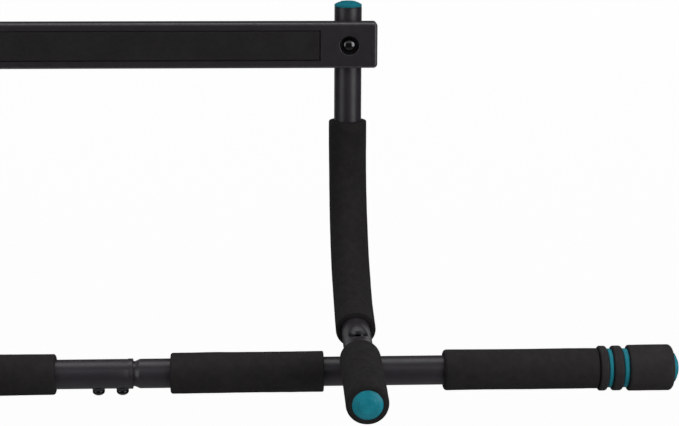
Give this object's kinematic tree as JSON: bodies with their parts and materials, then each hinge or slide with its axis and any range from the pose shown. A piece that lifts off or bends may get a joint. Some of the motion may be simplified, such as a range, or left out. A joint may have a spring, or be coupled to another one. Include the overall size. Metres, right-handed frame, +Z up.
{
  "type": "doorway pull-up bar",
  "caption": "Doorway pull-up bar: padded flat beam, bent arms with foam sleeves, forward neutral grips and a two-piece main bar with foam grips.",
  "frame": {"origin": "centre of the flat beam's underside, which rests on top of the door trim", "axes": "+X along the bars, -Y towards the user, +Z up"},
  "size_m": [0.982, 0.335, 0.3269],
  "materials": {
    "tube_paint": "satin charcoal powder coat",
    "grip_foam": "matte closed-cell foam",
    "pad_foam": "matte foam strip",
    "beam_plastic": "fine-grained dark grey moulding",
    "teal_plastic": "semi-gloss teal moulding",
    "black_fastener": "glossy black",
    "inner_steel": "plain"
  },
  "bodies": {
    "root": {"accent_ring_left_1": "teal_plastic", "accent_ring_left_2": "teal_plastic", "accent_ring_right_1": "teal_plastic", "accent_ring_right_2": "teal_plastic", "arm_foam_left": "grip_foam", "arm_foam_right": "grip_foam", "arm_top_plug_left": "teal_plastic", "arm_top_plug_right": "teal_plastic", "arm_tube_left": "tube_paint", "arm_tube_right": "tube_paint", "beam_back_plate": "beam_plastic", "beam_bolt_left": "black_fastener", "beam_bolt_right": "black_fastener", "beam_dome_nut_left": "black_fastener", "beam_dome_nut_right": "black_fastener", "beam_pad": "pad_foam", "beam_saddle_washer_left": "black_fastener", "beam_saddle_washer_right": "black_fastener", "beam_shell": "beam_plastic", "beam_steel_strip": "black_fastener", "crossing_bolt_left": "black_fastener", "crossing_bolt_right": "black_fastener", "crossing_dome_nut_left": "black_fastener", "crossing_dome_nut_right": "black_fastener", "crossing_saddle_washer_left": "black_fastener", "crossing_saddle_washer_right": "black_fastener", "end_grip_left": "grip_foam", "end_grip_right": "grip_foam", "end_plug_left": "teal_plastic", "end_plug_right": "teal_plastic", "inner_foam_left": "grip_foam", "inner_foam_right": "grip_foam", "joint_nut_left": "inner_steel", "joint_nut_right": "inner_steel", "joint_screw_left": "black_fastener", "joint_screw_right": "black_fastener", "main_tube_left": "tube_paint", "main_tube_right": "tube_paint", "neutral_grip_foam_left": "grip_foam", "neutral_grip_foam_right": "grip_foam", "neutral_grip_plug_left": "teal_plastic", "neutral_grip_plug_right": "teal_plastic", "outer_foam_left": "grip_foam", "outer_foam_right": "grip_foam", "ridge_left_1": "grip_foam", "ridge_left_2": "grip_foam", "ridge_right_1": "grip_foam", "ridge_right_2": "grip_foam"}
  },
  "joints": []
}
